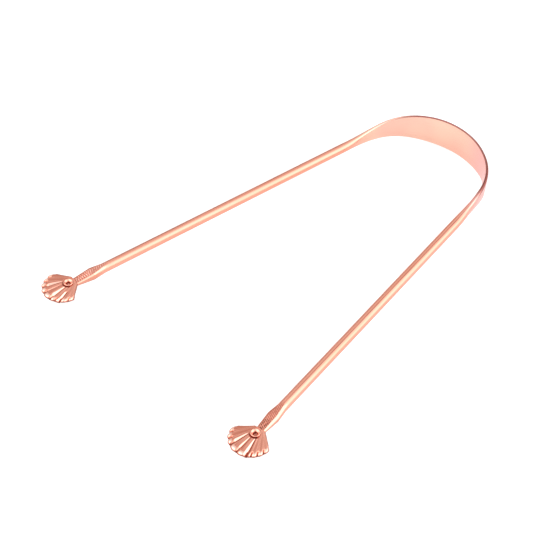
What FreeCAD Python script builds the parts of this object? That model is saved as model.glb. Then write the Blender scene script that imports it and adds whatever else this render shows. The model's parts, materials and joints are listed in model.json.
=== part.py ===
# Tongue scraper: a bow made of one copper rod, with a shell-shaped finger rest riveted to each end.
# The middle of the rod is rolled flat, on edge, into the curved scraping blade. Its two round arms
# end in a forged tang. Each tang carries a pressed, fluted shell on a semi-tubular rivet.
# Millimetres and degrees. +X points along the scraper to its bend, +Z is up, and left is +Y.
# The origin is below the middle of the whole scraper, level with the blade's lower edge.
import FreeCAD, Part
import math
import os

os.makedirs("parts", exist_ok=True)
doc = FreeCAD.newDocument("tongue_scraper")
Vector = FreeCAD.Vector

# Driving sizes
SIZES = [
    ("rod_diameter", 3.0, "copper rod that the bow is made from"),
    ("blade_height", 11.1, "rolled blade at the middle of the bend, edge to edge"),
    ("apex_radius", 25.0, "bend at the blade's middle"),
    ("apex_half_angle", 35.0, "turn of that arc on each side"),
    ("shoulder_radius", 18.0, "tighter bend on each side of the middle"),
    ("shoulder_angle", 39.5, "turn of a shoulder"),
    ("easing_radius", 57.0, "slow bend that leads into an arm"),
    ("arm_splay_angle", 8.5, "each arm leans outward from the centre line"),
    ("arm_length", 110.4, "from the end of the bend to the rivet"),
    ("arm_root_length", 10.4, "first stretch of an arm, still flattened"),
    ("tang_length", 13.8, "from where the hammered flats start to the rivet"),
    ("swell_distance", 12.0, "from where the tang starts to widen to the rivet"),
    ("shoulder_distance", 8.0, "from the widest place of the tang to the rivet"),
    ("shoulder_width", 3.8, "tang at its widest"),
    ("shoulder_thickness", 2.46, "tang at its widest, top to bottom"),
    ("neck_distance", 2.4, "from the thin end of the wedge to the rivet"),
    ("neck_width", 2.7, "thin end of the tang"),
    ("neck_thickness", 1.1, "thin end of the tang, top to bottom"),
    ("sheet_thickness", 0.5, "copper sheet that a shell is pressed from"),
    ("fan_origin_distance", 3.8, "from the point where the flutes would meet to the rivet"),
    ("fan_half_angle", 46.8, "half of the shell's spread"),
    ("back_edge_distance", 2.1, "from the shell's back edge to the rivet"),
    ("rim_radius", 6.25, "curve of the shell's front rim"),
    ("rim_centre_distance", 2.0, "from the rivet to that curve's centre"),
    ("flute_count", 9, "lobes of the shell"),
    ("flute_depth", 0.42, "from a lobe's crest to the groove beside it"),
    ("flute_rise", 0.28, "rise from the rivet's seat to the lobes"),
    ("scallop_depth", 0.38, "notch between two lobes at the rim"),
    ("lip_drop", 0.62, "how far the rim is turned down"),
    ("crown_drop", 0.35, "how much lower the shell's sides are"),
    ("shank_radius", 0.95, "rivet's shank, which fills the tang's hole"),
    ("tube_radius", 0.45, "hollow in the rivet's rolled end"),
    ("tube_depth", 1.0, "depth of that hollow below the rolled end's top"),
    ("roll_radius", 1.27, "outside of the rivet's rolled end"),
    ("head_radius", 1.5, "rivet's head, below the tang"),
    ("head_height", 0.5, "thickness of that head"),
    ("swivel_clearance", 0.05, "round the shank, in the shell's hole"),
    ("swivel_gap", 0.02, "above and below the shell, where it turns on the tang"),
]
sheet = doc.addObject("Spreadsheet::Sheet", "Sizes")
for row, (name, value, note) in enumerate(SIZES, start=1):
    sheet.set(f"A{row}", name)
    sheet.set(f"B{row}", str(value))
    sheet.setAlias(f"B{row}", name)
    sheet.set(f"C{row}", note)
doc.recompute()


def size(name):
    """One size of the sheet, as a number."""
    return float(sheet.get(name))


def angle(name):
    """One angle of the sheet, in radians."""
    return math.radians(size(name))


# How the blade's height fades towards the round rod, as powers of the share of the way
INNER_FADE_SHARE = 2.5
OUTER_FADE_SHARE = 3.0
# Where a section's corners lie, as shares of its half thickness: on a round rod and on a thin ribbon
ROUND_CORNER_SHARES = (math.sin(math.pi / 4), 1 - math.cos(math.pi / 4))
RIBBON_CORNER_SHARES = (0.96, 1.0)
# Sections of the blade along each arc of the bend, as shares of the arc
ARC_SECTION_SHARES = (1 / 4, 1 / 2, 3 / 4, 1)
# Sections along an arm's flattened root, as shares of it
ROOT_SECTION_SHARES = (0, 1 / 4, 1 / 2, 3 / 4, 1)
# Lines across a shell, from its back edge to its rim. Each has these shares: how far it is on the
# way to the rim, the step's rise, the depth of the grooves, the notches, the lip's drop and its tilt.
SHELL_LINE_SHARES = [
    (0.00, 0.0, 0.0, 0.0, 0.0, 0.0),
    (0.32, 0.0, 0.0, 0.0, 0.0, 0.0),
    (0.38, 1.0, 0.45, 0.0, 0.0, 0.0),
    (0.62, 1.0, 0.85, 0.0, 0.05, 0.1),
    (0.82, 1.0, 1.0, 0.2, 0.20, 0.3),
    (0.92, 1.0, 1.0, 0.6, 0.50, 0.6),
    (1.00, 1.0, 0.9, 1.0, 1.0, 1.0),
]
LIP_TILT_SHARE = 0.55  # of a right angle, at the rim itself

# Places that several pieces share
bend_angle = math.pi / 2 - angle("arm_splay_angle")
easing_angle = bend_angle - angle("apex_half_angle") - angle("shoulder_angle")
BEND_ARCS = [
    (size("apex_radius"), angle("apex_half_angle")),
    (size("shoulder_radius"), angle("shoulder_angle")),
    (size("easing_radius"), easing_angle),
]
bend_half_length = sum(radius * turn for radius, turn in BEND_ARCS)
flattened_length = bend_half_length + size("arm_root_length")
blade_mid_height = size("blade_height") / 2
tang_top = size("neck_thickness") / 2
shell_bottom = tang_top + size("swivel_gap")
shell_top = shell_bottom + size("sheet_thickness")


def along_bend(distance):
    """Centre (x, y) of the half bend and its turn, at a distance along it from the apex at (0, 0)."""
    x, y, turned, left = 0, 0, 0, distance
    for radius, turn in BEND_ARCS:
        step = min(left / radius, turn)
        x += radius * (math.cos(turned + step) - math.cos(turned))
        y += radius * (math.sin(turned + step) - math.sin(turned))
        turned += step
        left -= step * radius
    return x, y, turned


def ribbon_height(distance):
    """Height of the flattened rod at a distance from the apex."""
    share = min(distance / flattened_length, 1)
    fade = (1 - share**INNER_FADE_SHARE) ** OUTER_FADE_SHARE
    return size("rod_diameter") + (size("blade_height") - size("rod_diameter")) * fade


def ribbon_thickness(height):
    """Thickness that keeps the rod's own area in a section with round edges and this height."""
    area = math.pi * size("rod_diameter") ** 2 / 4
    spare = 1 - math.pi / 4
    return (height - math.sqrt(height**2 - 4 * spare * area)) / (2 * spare)


def ribbon_section(distance, place):
    """Section of the flattened rod, as four arcs; place(across, up) gives a point of its plane."""
    height = ribbon_height(distance)
    thickness = ribbon_thickness(height)
    flatness = 1 - thickness / height
    shares = [
        start + (end - start) * flatness
        for start, end in zip(ROUND_CORNER_SHARES, RIBBON_CORNER_SHARES)
    ]
    side = thickness / 2
    top = height / 2
    corner_side = side * shares[0]
    corner_top = top - side * shares[1]
    arcs = [
        (place(corner_side, corner_top), place(0, top), place(-corner_side, corner_top)),
        (place(-corner_side, corner_top), place(-side, 0), place(-corner_side, -corner_top)),
        (place(-corner_side, -corner_top), place(0, -top), place(corner_side, -corner_top)),
        (place(corner_side, -corner_top), place(side, 0), place(corner_side, corner_top)),
    ]
    return Part.Wire([Part.Arc(*points).toShape() for points in arcs])


def blade_section(distance, side):
    """Section of the bend on one side of the apex; side is 1 for left and -1 for right."""
    x, y, turned = along_bend(distance)

    def place(across, up):
        out = Vector(math.cos(turned), side * math.sin(turned), 0)
        return Vector(x, side * y, up) + out * across

    return ribbon_section(distance, place)


def sewn_solid(faces):
    """The solid that these faces enclose."""
    skin = Part.makeShell(faces)
    skin.sewShape()
    solid = Part.makeSolid(skin)
    if solid.Volume < 0:
        solid.reverse()
    return solid


# Scraping blade
def make_blade():
    """The bend: a thin ribbon on edge whose height fades towards both arms."""
    distances = []
    start = 0
    for radius, turn in BEND_ARCS:
        distances += [start + radius * turn * share for share in ARC_SECTION_SHARES]
        start += radius * turn
    sections = [blade_section(distance, -1) for distance in reversed(distances)]
    sections.append(blade_section(0, 1))
    sections += [blade_section(distance, 1) for distance in distances]
    return Part.makeLoft(sections, True, False)


# Finger shell
def rim_distance(turned):
    """From the flutes' common origin to the rim, in a direction."""
    centre = size("fan_origin_distance") + size("rim_centre_distance")
    sideways = centre * math.sin(turned)
    return centre * math.cos(turned) + math.sqrt(size("rim_radius") ** 2 - sideways**2)


def back_distance(turned):
    """From the flutes' common origin to the straight back edge, in a direction."""
    return (size("fan_origin_distance") - size("back_edge_distance")) / math.cos(turned)


def shell_point(line, turned, is_crest, is_top):
    """A point of the sheet, on a line across the shell and in a direction from the flutes' origin."""
    way, rise, groove, notch, drop, tilt = line
    back = back_distance(turned)
    distance = back + way * (rim_distance(turned) - back)
    sideways = math.sin(turned) / math.sin(angle("fan_half_angle"))
    height = shell_top + rise * (size("flute_rise") - size("crown_drop") * sideways**2)
    height -= drop * size("lip_drop")
    if not is_crest:
        height -= groove * size("flute_depth")
        distance -= notch * size("scallop_depth")
    if not is_top:
        lean = tilt * LIP_TILT_SHARE * math.pi / 2
        distance -= size("sheet_thickness") * math.sin(lean)
        height -= size("sheet_thickness") * math.cos(lean)
    x = distance * math.cos(turned) - size("fan_origin_distance")
    return Vector(x, distance * math.sin(turned), height)


def shell_edges(line, is_top):
    """One edge for each lobe, along a line across the shell: straight on the seat, else an arc."""
    count = int(size("flute_count"))
    pitch = 2 * angle("fan_half_angle") / count
    edges = []
    for lobe in range(count):
        start = lobe * pitch - angle("fan_half_angle")
        first = shell_point(line, start, False, is_top)
        crest = shell_point(line, start + pitch / 2, True, is_top)
        last = shell_point(line, start + pitch, False, is_top)
        if line[2] > 0:
            edges.append(Part.Arc(first, crest, last).toShape())
        else:
            edges.append(Part.makeLine(first, last))
    return edges


def make_shell():
    """The pressed sheet before its hole: ruled strips from line to line, above and below."""
    tops = [shell_edges(line, True) for line in SHELL_LINE_SHARES]
    bottoms = [shell_edges(line, False) for line in SHELL_LINE_SHARES]
    faces = []
    for rows in (tops, bottoms):
        for edges, following in zip(rows, rows[1:]):
            faces += [Part.makeRuledSurface(a, b) for a, b in zip(edges, following)]
    for end in (0, -1):
        faces += [Part.makeRuledSurface(a, b) for a, b in zip(tops[end], bottoms[end])]
    for end, vertex in ((0, 0), (-1, -1)):
        for number in range(len(tops) - 1):
            corners = [rows[end].Vertexes[vertex].Point for rows in (tops[number], tops[number + 1])]
            under = [rows[end].Vertexes[vertex].Point for rows in (bottoms[number], bottoms[number + 1])]
            faces.append(Part.makeRuledSurface(Part.makeLine(*corners), Part.makeLine(*under)))
    return sewn_solid(faces)


# Where the pieces lie
end_x, end_y, end_turned = along_bend(bend_half_length)


def arm_frame(side):
    """Placement of an arm: X runs out along it from the end of the bend, at the rod's centre."""
    turned = math.degrees(math.pi / 2 + end_turned)
    spin = FreeCAD.Rotation(Vector(0, 0, 1), side * turned)
    return FreeCAD.Placement(Vector(end_x, side * end_y, 0), spin)


def rivet_frame(side):
    """Placement of a shell and its rivet: the rivet's axis, with X as the arm has it."""
    out = FreeCAD.Placement(Vector(size("arm_length"), 0, 0), FreeCAD.Rotation())
    return arm_frame(side).multiply(out)


rim_centre = rivet_frame(1).multVec(Vector(size("rim_centre_distance"), 0, 0))
front_x = ribbon_thickness(size("blade_height")) / 2
rear_x = rim_centre.x - size("rim_radius")
frame = FreeCAD.Placement(
    Vector(-(front_x + rear_x) / 2, 0, blade_mid_height), FreeCAD.Rotation()
)


def feature(name, shape):
    """A document object that holds a shape worked out above."""
    part = doc.addObject("Part::Feature", name)
    part.Shape = shape
    return part


def bound(kind, name, **expressions):
    """A primitive whose sizes follow the sheet. A trailing _x, _y or _z sets its base."""
    part = doc.addObject(kind, name)
    for key, expression in expressions.items():
        path = "Placement.Base." + key[-1] if key.startswith("base_") else key
        part.setExpression(path, expression)
    return part


def finished(part, label, placement):
    """Gives a sub-part its label and its place in the scraper's frame."""
    part.Label = label
    part.Placement = frame.multiply(placement)
    subparts.append(part)


def bound_along(kind, name, **expressions):
    """A round primitive with its axis along the arm."""
    part = bound(kind, name, **expressions)
    part.Placement.Rotation = FreeCAD.Rotation(Vector(0, 1, 0), 90)
    return part


def hammered_outline():
    """Side view of an arm between its hammered flats, as a block that is wider than the arm."""
    rivet_x = size("arm_length")
    thinned = (size("rod_diameter") - size("shoulder_thickness")) / 2
    slope = thinned / (size("tang_length") - size("shoulder_distance"))
    start_half = size("rod_diameter") / 2 + slope * (rivet_x - size("tang_length"))
    halves = [
        (0, start_half),
        (rivet_x - size("shoulder_distance"), size("shoulder_thickness") / 2),
        (rivet_x - size("neck_distance"), size("neck_thickness") / 2),
        (rivet_x + size("neck_width"), size("neck_thickness") / 2),
    ]
    beside = -size("shoulder_width")
    corners = [Vector(x, beside, half) for x, half in halves]
    corners += [Vector(x, beside, -half) for x, half in reversed(halves)]
    return Part.Face(Part.makePolygon(corners + corners[:1])).extrude(Vector(0, -2 * beside, 0))


def make_forged_rod(side_name):
    """The round rod with its widened end, hammered flat above and below towards the rivet."""
    rod = bound_along(
        "Part::Cylinder",
        side_name + "_rod",
        Radius="Sizes.rod_diameter / 2",
        Height="Sizes.arm_length - Sizes.arm_root_length - Sizes.swell_distance",
        base_x="Sizes.arm_root_length",
    )
    swell = bound_along(
        "Part::Cone",
        side_name + "_tang_swell",
        Radius1="Sizes.rod_diameter / 2",
        Radius2="Sizes.shoulder_width / 2",
        Height="Sizes.swell_distance - Sizes.shoulder_distance",
        base_x="Sizes.arm_length - Sizes.swell_distance",
    )
    wedge = bound_along(
        "Part::Cone",
        side_name + "_tang_wedge",
        Radius1="Sizes.shoulder_width / 2",
        Radius2="Sizes.neck_width / 2",
        Height="Sizes.shoulder_distance - Sizes.neck_distance",
        base_x="Sizes.arm_length - Sizes.shoulder_distance",
    )
    neck = bound_along(
        "Part::Cylinder",
        side_name + "_tang_neck",
        Radius="Sizes.neck_width / 2",
        Height="Sizes.neck_distance",
        base_x="Sizes.arm_length - Sizes.neck_distance",
    )
    tip = bound(
        "Part::Sphere",
        side_name + "_tang_tip",
        Radius="Sizes.neck_width / 2",
        base_x="Sizes.arm_length",
    )
    round_blank = doc.addObject("Part::MultiFuse", side_name + "_round_blank")
    round_blank.Shapes = [rod, swell, wedge, neck, tip]
    forged = doc.addObject("Part::MultiCommon", side_name + "_forged_rod")
    forged.Shapes = [round_blank, feature(side_name + "_hammered_outline", hammered_outline())]
    return forged


def make_arm(side_name, side):
    """A round arm with its flattened root and its forged tang, and a hole for the rivet."""

    def across_root(share):
        x = share * size("arm_root_length")
        return ribbon_section(bend_half_length + x, lambda across, up: Vector(x, across, up))

    root = feature(
        side_name + "_arm_root",
        Part.makeLoft([across_root(share) for share in ROOT_SECTION_SHARES], True, False),
    )
    hole = bound(
        "Part::Cylinder",
        side_name + "_tang_hole",
        Radius="Sizes.shank_radius",
        Height="2 * Sizes.neck_thickness",
        base_x="Sizes.arm_length",
        base_z="-Sizes.neck_thickness",
    )
    blank = doc.addObject("Part::MultiFuse", side_name + "_arm_blank")
    blank.Shapes = [root, make_forged_rod(side_name)]
    arm = doc.addObject("Part::Cut", side_name + "_arm_drilled")
    arm.Base = blank
    arm.Tool = hole
    finished(arm, side_name + "_arm", arm_frame(side))


def make_finger_shell(side_name, side):
    """A pressed shell with the hole that lets it turn on its rivet."""
    pressed = feature(side_name + "_pressed_sheet", make_shell())
    hole = bound(
        "Part::Cylinder",
        side_name + "_shell_hole",
        Radius="Sizes.shank_radius + Sizes.swivel_clearance",
        Height="Sizes.neck_thickness + Sizes.sheet_thickness * 2",
    )
    shell = doc.addObject("Part::Cut", side_name + "_shell_drilled")
    shell.Base = pressed
    shell.Tool = hole
    finished(shell, side_name + "_finger_shell", rivet_frame(side))


def make_rivet(side_name, side):
    """A semi-tubular rivet: a low domed head below, and a hollow end rolled over the shell above."""
    stack = "(Sizes.neck_thickness / 2 + Sizes.sheet_thickness + 2 * Sizes.swivel_gap)"
    roll_wire = "((Sizes.roll_radius - Sizes.tube_radius) / 2)"
    dome = "((Sizes.head_radius ^ 2 + Sizes.head_height ^ 2) / (2 * Sizes.head_height))"
    shank = bound(
        "Part::Cylinder",
        side_name + "_rivet_shank",
        Radius="Sizes.shank_radius",
        Height=stack + " + Sizes.neck_thickness / 2",
        base_z="-Sizes.neck_thickness / 2",
    )
    roll = bound(
        "Part::Torus",
        side_name + "_rivet_roll",
        Radius1="(Sizes.roll_radius + Sizes.tube_radius) / 2",
        Radius2=roll_wire,
        base_z=stack,
    )
    above = bound(
        "Part::Cylinder",
        side_name + "_above_shell",
        Radius="Sizes.roll_radius + Sizes.tube_radius",
        Height="Sizes.roll_radius",
        base_z=stack,
    )
    roll_half = doc.addObject("Part::MultiCommon", side_name + "_rivet_roll_half")
    roll_half.Shapes = [roll, above]
    ball = bound(
        "Part::Sphere",
        side_name + "_rivet_dome",
        Radius=dome,
        base_z="-Sizes.neck_thickness / 2 - Sizes.head_height + " + dome,
    )
    below = bound(
        "Part::Cylinder",
        side_name + "_below_tang",
        Radius="2 * Sizes.head_radius",
        Height="2 * Sizes.head_height",
        base_z="-Sizes.neck_thickness / 2 - 2 * Sizes.head_height",
    )
    head = doc.addObject("Part::MultiCommon", side_name + "_rivet_head")
    head.Shapes = [ball, below]
    hollow = bound(
        "Part::Cylinder",
        side_name + "_rivet_hollow",
        Radius="Sizes.tube_radius",
        Height="2 * Sizes.tube_depth",
        base_z=stack + " + " + roll_wire + " - Sizes.tube_depth",
    )
    solid_rivet = doc.addObject("Part::MultiFuse", side_name + "_rivet_blank")
    solid_rivet.Shapes = [shank, roll_half, head]
    rivet = doc.addObject("Part::Cut", side_name + "_rivet_drilled")
    rivet.Base = solid_rivet
    rivet.Tool = hollow
    finished(rivet, side_name + "_rivet", rivet_frame(side))


subparts = []
finished(feature("bend", make_blade()), "scraping_blade", FreeCAD.Placement())
for side_name, side in (("left", 1), ("right", -1)):
    make_arm(side_name, side)
    make_finger_shell(side_name, side)
    make_rivet(side_name, side)
doc.recompute()

# Every object is sound before anything is written
for part in doc.Objects:
    if {"Invalid", "Error"} & set(part.State):
        raise RuntimeError(part.Label + " did not compute: " + str(part.State))
for part in subparts:
    if part.Shape.isNull() or not part.Shape.isValid() or part.Shape.Volume <= 0:
        raise RuntimeError(part.Label + " has no valid solid")
for part in subparts:
    part.Shape.exportStep(os.path.join("parts", part.Label + ".step"))
    box = part.Shape.BoundBox
    print(
        f"{part.Label}: {len(part.Shape.Solids)} solid, {part.Shape.Volume:.2f} mm3, "
        f"x {box.XMin:.2f}..{box.XMax:.2f}, y {box.YMin:.2f}..{box.YMax:.2f}, "
        f"z {box.ZMin:.2f}..{box.ZMax:.2f}"
    )
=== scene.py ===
# Looks of the copper tongue scraper, built around the imported CAD part.
# The bow is two halves of one metal bar that meet at the middle of the bend. The fluted shells turn with
# their bodies, and the rolled rivets ride on the arms.
# Metres and radians, in the part's own frame: +X towards the bend, +Y left, +Z up.
import json
import math
from collections import namedtuple

import bmesh
import bpy
import numpy as np
from mathutils import Matrix, Vector


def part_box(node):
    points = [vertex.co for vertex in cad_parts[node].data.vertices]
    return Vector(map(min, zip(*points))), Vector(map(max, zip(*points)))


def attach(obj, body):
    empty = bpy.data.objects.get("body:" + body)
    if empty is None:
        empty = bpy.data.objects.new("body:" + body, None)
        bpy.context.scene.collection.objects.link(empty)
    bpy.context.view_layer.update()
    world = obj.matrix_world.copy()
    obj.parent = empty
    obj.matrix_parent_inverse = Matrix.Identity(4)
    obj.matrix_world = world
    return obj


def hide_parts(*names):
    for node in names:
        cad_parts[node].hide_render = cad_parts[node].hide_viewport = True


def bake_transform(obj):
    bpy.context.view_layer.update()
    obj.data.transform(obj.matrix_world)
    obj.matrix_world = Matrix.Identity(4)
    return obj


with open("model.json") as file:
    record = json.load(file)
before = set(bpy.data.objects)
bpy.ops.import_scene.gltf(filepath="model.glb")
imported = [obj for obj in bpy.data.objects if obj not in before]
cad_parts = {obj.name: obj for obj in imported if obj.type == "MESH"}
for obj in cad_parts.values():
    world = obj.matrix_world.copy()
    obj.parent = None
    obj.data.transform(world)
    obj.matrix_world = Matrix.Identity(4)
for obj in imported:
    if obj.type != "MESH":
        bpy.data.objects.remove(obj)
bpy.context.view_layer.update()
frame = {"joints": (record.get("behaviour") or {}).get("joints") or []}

MM = 0.001

# Sizes of the bow, the same as the CAD part's
ROD_RADIUS = 1.5 * MM
BLADE_HEIGHT = 11.1 * MM
BEND_ARCS = [
    (25 * MM, math.radians(35)),
    (18 * MM, math.radians(39.5)),
    (57 * MM, math.radians(7)),
]
ARM_LENGTH = 110.4 * MM
ARM_ROOT_LENGTH = 10.4 * MM
TANG_LENGTH = 13.8 * MM
SWELL_DISTANCE = 12.0 * MM
SHOULDER_DISTANCE = 8.0 * MM
NECK_DISTANCE = 2.4 * MM
INNER_FADE_SHARE = 2.5
OUTER_FADE_SHARE = 3.0
ROUND_CORNER_SHARES = (math.sin(math.pi / 4), 1 - math.cos(math.pi / 4))
RIBBON_CORNER_SHARES = (0.96, 1.0)
# Where the bow bends when the arms are squeezed, from its middle
FLEX_ENDS = (0 * MM, 27 * MM)

# Tang: the radius of its round sides, and the height of its flats above the rod's centre
SHOULDER_RADIUS = 1.9 * MM
SHOULDER_FLAT = 1.23 * MM
NECK_RADIUS = 1.35 * MM
NECK_FLAT = 0.55 * MM

bend_length = sum(radius * turn for radius, turn in BEND_ARCS)
flattened_length = bend_length + ARM_ROOT_LENGTH
rivet_at = bend_length + ARM_LENGTH
blade_low, blade_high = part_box("scraping_blade")
mid_z = (blade_low.z + blade_high.z) / 2


def ribbon_height(distance):
    """Height of the flattened rod at a distance along the bow from the middle of the bend."""
    share = min(distance / flattened_length, 1)
    fade = (1 - share**INNER_FADE_SHARE) ** OUTER_FADE_SHARE
    return 2 * ROD_RADIUS + (BLADE_HEIGHT - 2 * ROD_RADIUS) * fade


def ribbon_thickness(height):
    """Thickness that keeps the rod's own area in a section with round edges and this height."""
    area = math.pi * ROD_RADIUS**2
    spare = 1 - math.pi / 4
    return (height - math.sqrt(height**2 - 4 * spare * area)) / (2 * spare)


apex_x = blade_high.x - ribbon_thickness(BLADE_HEIGHT) / 2


def along_bow(distance):
    """Centre (x, y) of the left half bow and its turn, at a distance from the middle of the bend."""
    x, y, turned, left = apex_x, 0.0, 0.0, distance
    for radius, turn in BEND_ARCS:
        step = min(left / radius, turn)
        x += radius * (math.cos(turned + step) - math.cos(turned))
        y += radius * (math.sin(turned + step) - math.sin(turned))
        turned += step
        left -= step * radius
    return x - left * math.sin(turned), y + left * math.cos(turned), turned


# Meshes
def mesh_object(name, points, faces, places, tones):
    """A smooth-shaded object. For the materials, each point has its place on the metal and its tone: 1 is
    painted highlight, 0 plain and -1 painted shade."""
    mesh = bpy.data.meshes.new(name)
    mesh.from_pydata([tuple(point) for point in points], [], faces)
    mesh.polygons.foreach_set("use_smooth", [True] * len(mesh.polygons))
    attribute = mesh.attributes.new("place", "FLOAT_VECTOR", "POINT")
    attribute.data.foreach_set("vector", np.asarray(places, float).ravel())
    attribute = mesh.attributes.new("tone", "FLOAT", "POINT")
    attribute.data.foreach_set("value", np.asarray(tones, float))
    mesh.update()
    piece = bpy.data.objects.new(name, mesh)
    bpy.context.scene.collection.objects.link(piece)
    return piece


def tube_faces(rings, count):
    """Faces of a closed tube: quads between its rings of points, numbered on from ring to ring, and an end
    on its first and on its last ring."""
    faces = []
    for ring in range(rings - 1):
        for spot in range(count):
            following = (spot + 1) % count
            low, high = ring * count, (ring + 1) * count
            faces.append((low + spot, low + following, high + following, high + spot))
    last = (rings - 1) * count
    return faces + [tuple(range(count))[::-1], tuple(range(last, last + count))]


# The bow's sections. Each is a ring of (across, up) with the same number of points in each quarter:
# the top edge or face, the inner side, the bottom and the outer side.
FACE_POINTS = 26
SIDE_POINTS = 20


def arc_points(start, middle, end, count):
    """Points on the arc through three points, without its end."""
    (ax, ay), (bx, by), (cx, cy) = start, middle, end
    a, b, c = [x**2 + y**2 for x, y in (start, middle, end)]
    divisor = 2 * (ax * (by - cy) + bx * (cy - ay) + cx * (ay - by))
    centre_x = (a * (by - cy) + b * (cy - ay) + c * (ay - by)) / divisor
    centre_y = (a * (cx - bx) + b * (ax - cx) + c * (bx - ax)) / divisor
    radius = math.hypot(ax - centre_x, ay - centre_y)
    first = math.atan2(ay - centre_y, ax - centre_x)
    sweep = (math.atan2(cy - centre_y, cx - centre_x) - first) % (2 * math.pi)
    angles = [first + sweep * step / count for step in range(count)]
    return [(centre_x + radius * math.cos(angle), centre_y + radius * math.sin(angle)) for angle in angles]


def ribbon_ring(distance):
    """Section of the flattened rod: two slightly bulging sides and two round edges."""
    height = ribbon_height(distance)
    thickness = ribbon_thickness(height)
    flatness = 1 - thickness / height
    side_share, top_share = [
        start + (end - start) * flatness
        for start, end in zip(ROUND_CORNER_SHARES, RIBBON_CORNER_SHARES)
    ]
    side, top = thickness / 2, height / 2
    corner_side, corner_top = side * side_share, top - side * top_share
    quarters = [
        ((corner_side, corner_top), (0, top), (-corner_side, corner_top), FACE_POINTS),
        ((-corner_side, corner_top), (-side, 0), (-corner_side, -corner_top), SIDE_POINTS),
        ((-corner_side, -corner_top), (0, -top), (corner_side, -corner_top), FACE_POINTS),
        ((corner_side, -corner_top), (side, 0), (corner_side, corner_top), SIDE_POINTS),
    ]
    return [point for quarter in quarters for point in arc_points(*quarter)]


def smooth_least(values, softness):
    """The least of some lengths, rounded where two of them cross."""
    low = min(values)
    return low - softness * math.log(sum(math.exp((low - value) / softness) for value in values))


def smooth_step(value, start, end):
    """A share that eases from 0 to 1 as the value goes from start to end."""
    share = min(max((value - start) / (end - start), 0), 1)
    return share * share * (3 - 2 * share)


def smooth_fall(value, start, end):
    """A share that eases from 1 to 0 as the value goes from start to end."""
    return 1 - smooth_step(value, start, end)


def line_through(value, start, start_height, end, end_height):
    """Height at a value, on the straight line between two points and level beyond them."""
    share = min(max((value - start) / (end - start), 0), 1)
    return start_height + (end_height - start_height) * share


def along_tang(to_rivet, start, at_start, at_shoulder, at_neck):
    """A measure of the tang, which changes evenly from its start to its shoulder and on to its neck."""
    if to_rivet > SHOULDER_DISTANCE:
        return line_through(to_rivet, start, at_start, SHOULDER_DISTANCE, at_shoulder)
    return line_through(to_rivet, SHOULDER_DISTANCE, at_shoulder, NECK_DISTANCE, at_neck)


CORNER_SOFTNESS = 0.02 * MM
# The bevel beside each tang's upper flat: its tilt, and how much of the tang's radius it takes off at the
# shoulder and at the neck
BEVEL_TILT = math.radians(40)
BEVEL_SHARES = {"left": (0.085, 0.20), "right": (0.14, 0.25)}
# How far the bevel's painted highlight takes to fade in
HIGHLIGHT_FADE = 0.06 * MM
# A point lies on the flat from these shares of the flat's height
ON_FLAT_SHARES = (0.985, 0.998)
# The flat has painted shade along its far edge and beside the bevel. Each band fades at these distances
# from its edge, and along the tang at these distances before the rivet.
FAR_BAND = (0.22 * MM, 0.52 * MM)
FAR_BAND_FADE = (9 * MM, 13 * MM)
BEVEL_BAND = (0.06 * MM, 0.28 * MM)
BEVEL_BAND_FADE = (5 * MM, 9 * MM)
BEVEL_BAND_SHARE = 0.7
# The tang's sides and underside have painted shade too
SIDES_SHARE = 0.35
SIDES_FADE = (8 * MM, 13 * MM)


def tang_ring(side_name, to_rivet, marks):
    """Section of the forged tang and the tones of its points: a round bar with a hammered flat above and
    below and a bevel beside the upper one. The bevel gets a painted highlight; painted shade lies along the
    flat's far edge, beside the bevel and on the sides and underside. The bevel is on the right of both
    tangs:
    inward on the left one and outward on the right one."""
    bevelled = {"left": -1, "right": 1}[side_name]
    radius = along_tang(to_rivet, SWELL_DISTANCE, ROD_RADIUS, SHOULDER_RADIUS, NECK_RADIUS)
    flat = along_tang(to_rivet, TANG_LENGTH, ROD_RADIUS, SHOULDER_FLAT, NECK_FLAT)
    corner = min(math.asin(flat / radius), math.pi / 4)
    reach = radius * (1 - along_tang(to_rivet, TANG_LENGTH, 0, *BEVEL_SHARES[side_name]))
    bevel_end = math.asin(reach / radius) - BEVEL_TILT
    tops = {bevelled: min(bevel_end, corner), -bevelled: corner}
    first, last = radius * math.cos(tops[1]), -radius * math.cos(tops[-1])
    ring, tones = [], []
    for step in range(FACE_POINTS):
        y = first + (last - first) * step / FACE_POINTS
        bevel = (reach - bevelled * y * math.sin(BEVEL_TILT)) / math.cos(BEVEL_TILT)
        arch = math.sqrt(max(radius**2 - y**2, 0))
        z = smooth_least([flat, arch, bevel], CORNER_SOFTNESS)
        on_flat = smooth_step(z / flat, *ON_FLAT_SHARES)
        ring.append((y, z - marks(to_rivet, y) * on_flat))
        # Painted shade along the flat's far edge and beside the bevel
        far_gap = radius * math.cos(corner) + bevelled * y
        tang_shade = smooth_fall(far_gap, *FAR_BAND) * smooth_fall(to_rivet, *FAR_BAND_FADE)
        if bevel > flat:
            beside_bevel = BEVEL_BAND_SHARE * smooth_fall(bevel - flat, *BEVEL_BAND)
            tang_shade = max(tang_shade, beside_bevel * smooth_fall(to_rivet, *BEVEL_BAND_FADE))
        # Painted highlight on the bevel, less the painted shade
        tones.append(smooth_step(min(flat, arch) - bevel, 0, HIGHLIGHT_FADE) - tang_shade)
    for step in range(SIDE_POINTS):
        turned = tops[-1] + (-corner - tops[-1]) * step / SIDE_POINTS
        ring.append((-radius * math.cos(turned), radius * math.sin(turned)))
    for step in range(FACE_POINTS):
        y = radius * math.cos(corner) * (2 * step / FACE_POINTS - 1)
        ring.append((y, -smooth_least([flat, math.sqrt(max(radius**2 - y**2, 0))], CORNER_SOFTNESS)))
    for step in range(SIDE_POINTS):
        turned = -corner + (tops[1] + corner) * step / SIDE_POINTS
        ring.append((radius * math.cos(turned), radius * math.sin(turned)))
    # Painted shade on the tang's sides and underside
    tones += [-SIDES_SHARE * smooth_fall(to_rivet, *SIDES_FADE)] * (len(ring) - len(tones))
    return ring, tones


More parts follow.
